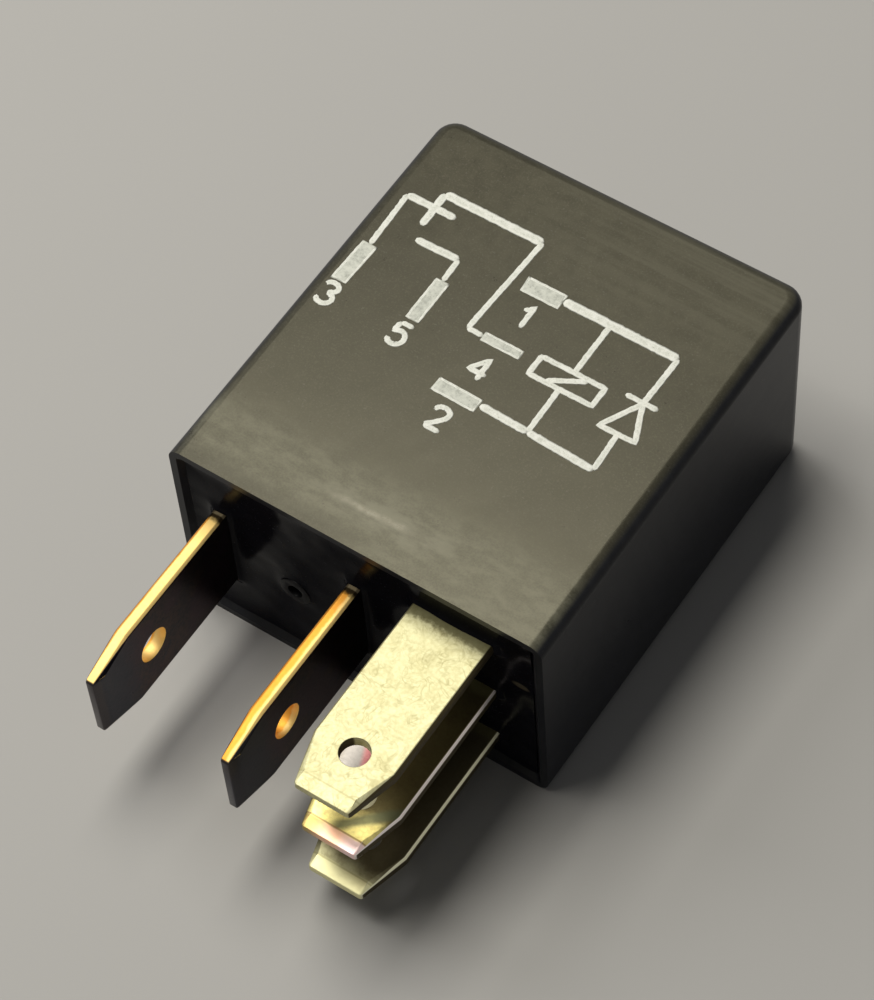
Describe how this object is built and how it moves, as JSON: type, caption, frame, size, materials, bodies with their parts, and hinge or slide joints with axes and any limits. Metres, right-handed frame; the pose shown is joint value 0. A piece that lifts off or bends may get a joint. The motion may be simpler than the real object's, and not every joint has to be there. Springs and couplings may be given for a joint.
{
  "type": "automotive relay",
  "caption": "Small plug-in changeover relay with a black moulded cover, flat blade terminals, a coil with a diode across it and a hinged armature.",
  "frame": {"origin": "centre of the cover's open end, in the plane of its rim, where the relay meets its socket", "axes": "+Y from the blades to the closed end, +Z out of the printed face, +X to the right of the print; the relay lies on its back"},
  "size_m": [0.0224, 0.0366, 0.0142],
  "materials": {
    "cover_plastic": "fine satin moulded black, slightly warm",
    "epoxy": "poured, glossy, wavy",
    "base_plastic": "moulded",
    "pale_brass": "tarnished pale brass with fine scratches",
    "yellow_brass": "heat-tinted yellow brass",
    "plated_steel": "satin",
    "rivet_steel": "satin",
    "bobbin_plastic": "moulded",
    "enamelled_copper": "enamelled copper wire",
    "spring_bronze": "rolled spring bronze",
    "contact_silver": "satin silver alloy",
    "diode_epoxy": "moulded with a pale band",
    "tinned_lead": "tinned",
    "solder": "satin"
  },
  "bodies": {
    "relay": {"cover": "cover_plastic", "seal": "epoxy", "base": "base_plastic", "terminal_1": "pale_brass", "terminal_2": "pale_brass", "terminal_4": "pale_brass", "terminal_3": "yellow_brass", "terminal_5": "yellow_brass", "yoke": "plated_steel", "core": "plated_steel", "spring_rivets": "rivet_steel", "bobbin": "bobbin_plastic", "winding": "enamelled_copper", "coil_leads": "enamelled_copper", "contact_spring": "spring_bronze", "make_contact": "contact_silver", "break_contact": "contact_silver", "diode_body": "diode_epoxy", "diode_leads": "tinned_lead", "solder_joints": "solder"},
    "armature": {"armature": "plated_steel", "armature_rivets": "rivet_steel", "moving_contact": "contact_silver"}
  },
  "joints": [
    {"name": "armature_hinge", "type": "hinge", "parent": "relay", "child": "armature", "pos_m": [-0.00808, 0.01957, 0], "axis": [0, 0, 1], "range_deg": [-2.27, 0], "stiffness_Nm_per_rad": 0.01, "springref_deg": 5.73, "deforming": ["contact_spring"]}
  ]
}
